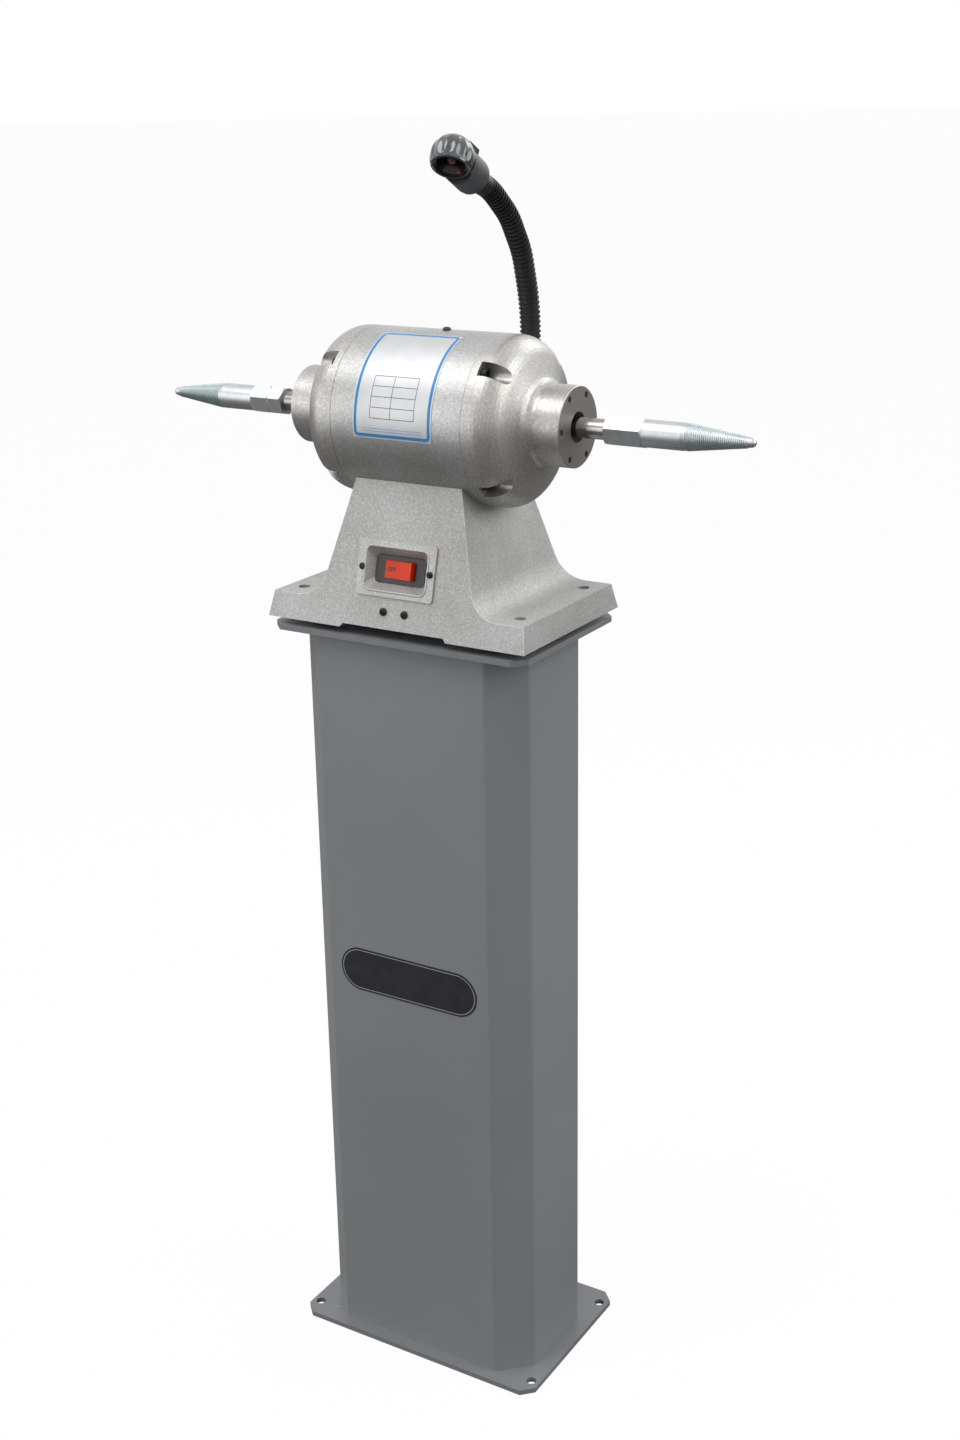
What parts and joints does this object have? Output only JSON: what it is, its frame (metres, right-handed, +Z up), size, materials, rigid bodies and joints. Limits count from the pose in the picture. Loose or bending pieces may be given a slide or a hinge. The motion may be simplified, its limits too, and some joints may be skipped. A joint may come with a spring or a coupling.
{
  "type": "bench buffer",
  "caption": "Double-ended polishing motor with tapered threaded spindles on a cast stand and sheet steel pedestal, with a ribbed flexible lamp arm.",
  "frame": {"origin": "on the floor, at the middle of the four anchor holes of the base plate", "axes": "+Z up, +X along the shaft to the right, -Y the front with the switch"},
  "size_m": [0.684, 0.2235, 1.3322],
  "materials": {
    "pedestal_paint": "satin mid grey enamel",
    "silver_paint": "silver hammer paint on castings and shell",
    "zinc": "bright zinc plate",
    "steel": "ground steel",
    "black_steel": "black oxide",
    "rubber": "matt",
    "black_plastic": "satin",
    "red_plastic": "gloss",
    "white_plastic": "satin",
    "plate": "satin anodised",
    "badge": "gloss",
    "lamination": "oiled sheet stack",
    "copper": "enamelled copper wire",
    "aluminium": "cast",
    "brass": "pressed",
    "lamp_grey": "satin",
    "lamp_silver": "polished",
    "dark_bowl": "gloss",
    "bulb_glass": "clear"
  },
  "bodies": {
    "stand": {"pedestal_base_plate": "pedestal_paint", "pedestal_column": "pedestal_paint", "pedestal_top_plate": "pedestal_paint", "column_badge": "badge", "rubber_pads": "rubber", "machine_bolts": "zinc", "machine_bolt_washers": "zinc", "machine_base": "silver_paint", "base_cover_plate": "plate", "base_cover_screws": "zinc", "switch_plate": "silver_paint", "switch_plate_screws": "black_steel", "main_switch_body": "black_plastic", "terminal_screws": "black_steel", "terminal_block": "white_plastic", "run_capacitor": "white_plastic", "capacitor_clip": "zinc", "cable_gland": "black_plastic", "gland_cap": "black_plastic", "saddle_bolts": "zinc", "motor_shell": "silver_paint", "stator_core": "lamination", "stator_windings": "copper", "left_end_bell": "silver_paint", "right_end_bell": "silver_paint", "left_bell_screws": "black_steel", "right_bell_screws": "black_steel", "left_bearing_outer_race": "steel", "right_bearing_outer_race": "steel", "bearing_spring_washer": "steel", "top_plug": "black_plastic", "nameplate": "plate", "lamp_bracket": "zinc", "lamp_bracket_screws": "zinc", "neck_base": "black_plastic", "neck_nut": "zinc"},
    "rotor": {"rotor_core": "lamination", "rotor_end_rings": "aluminium", "shaft": "steel", "left_bearing_inner_race": "steel", "right_bearing_inner_race": "steel", "left_spindle": "zinc", "right_spindle": "zinc"},
    "left_cage": {"left_bearing_cage": "brass", "left_bearing_balls": "steel"},
    "right_cage": {"right_bearing_cage": "brass", "right_bearing_balls": "steel"},
    "main_rocker": {"main_switch_rocker": "red_plastic"},
    "arm_1": {"neck_link_1": "black_plastic"},
    "arm_2": {"neck_link_2": "black_plastic"},
    "arm_3": {"neck_link_3": "black_plastic"},
    "arm_4": {"neck_link_4": "black_plastic"},
    "arm_5": {"neck_link_5": "black_plastic"},
    "lamp_head": {"neck_link_6": "black_plastic", "lamp_body": "lamp_grey", "lamp_hood": "lamp_silver", "lamp_rim": "lamp_silver", "lamp_reflector": "dark_bowl", "lamp_bulb": "bulb_glass"},
    "lamp_rocker_body": {"lamp_rocker": "black_plastic"}
  },
  "joints": [
    {"name": "spindle_spin", "type": "hinge", "parent": "stand", "child": "rotor", "pos_m": [0, 0.002, 1.061], "axis": [1, 0, 0], "continuous": true},
    {"name": "left_cage_spin", "type": "hinge", "parent": "stand", "child": "left_cage", "pos_m": [-0.121, 0.002, 1.061], "axis": [1, 0, 0], "continuous": true},
    {"name": "right_cage_spin", "type": "hinge", "parent": "stand", "child": "right_cage", "pos_m": [0.121, 0.002, 1.061], "axis": [1, 0, 0], "continuous": true},
    {"name": "main_switch", "type": "hinge", "parent": "stand", "child": "main_rocker", "pos_m": [-0.002, -0.0711, 0.91621], "axis": [0, 0.2538, 0.9673], "range_deg": [0, 16]},
    {"name": "arm_sway_low", "type": "hinge", "parent": "stand", "child": "arm_1", "pos_m": [0.046, 0.105, 1.004], "axis": [0, 1, 0], "range_deg": [-8, 8]},
    {"name": "arm_bend_low", "type": "hinge", "parent": "arm_1", "child": "arm_2", "pos_m": [0.046, 0.105, 1.063], "axis": [1, 0, 0], "range_deg": [-9, 9]},
    {"name": "arm_sway_mid", "type": "hinge", "parent": "arm_2", "child": "arm_3", "pos_m": [0.046, 0.105, 1.122], "axis": [0, 1, 0], "range_deg": [-10, 10]},
    {"name": "arm_bend_mid", "type": "hinge", "parent": "arm_3", "child": "arm_4", "pos_m": [0.046, 0.09499, 1.1932], "axis": [1, 0, 0], "range_deg": [-12, 12]},
    {"name": "arm_sway_high", "type": "hinge", "parent": "arm_4", "child": "arm_5", "pos_m": [0.046, 0.07653, 1.23279], "axis": [0, 0.829, 0.5592], "range_deg": [-12, 12]},
    {"name": "arm_bend_high", "type": "hinge", "parent": "arm_5", "child": "lamp_head", "pos_m": [0.046, 0.04674, 1.26473], "axis": [1, 0, 0], "range_deg": [-12, 12]},
    {"name": "lamp_switch", "type": "hinge", "parent": "lamp_head", "child": "lamp_rocker_body", "pos_m": [0.046, -0.01112, 1.31684], "axis": [1, 0, 0], "range_deg": [-16, 0]}
  ],
  "couplings": [
    {"joint": "left_cage_spin", "follows": "spindle_spin", "ratio": 0.3987},
    {"joint": "right_cage_spin", "follows": "spindle_spin", "ratio": 0.3987}
  ]
}
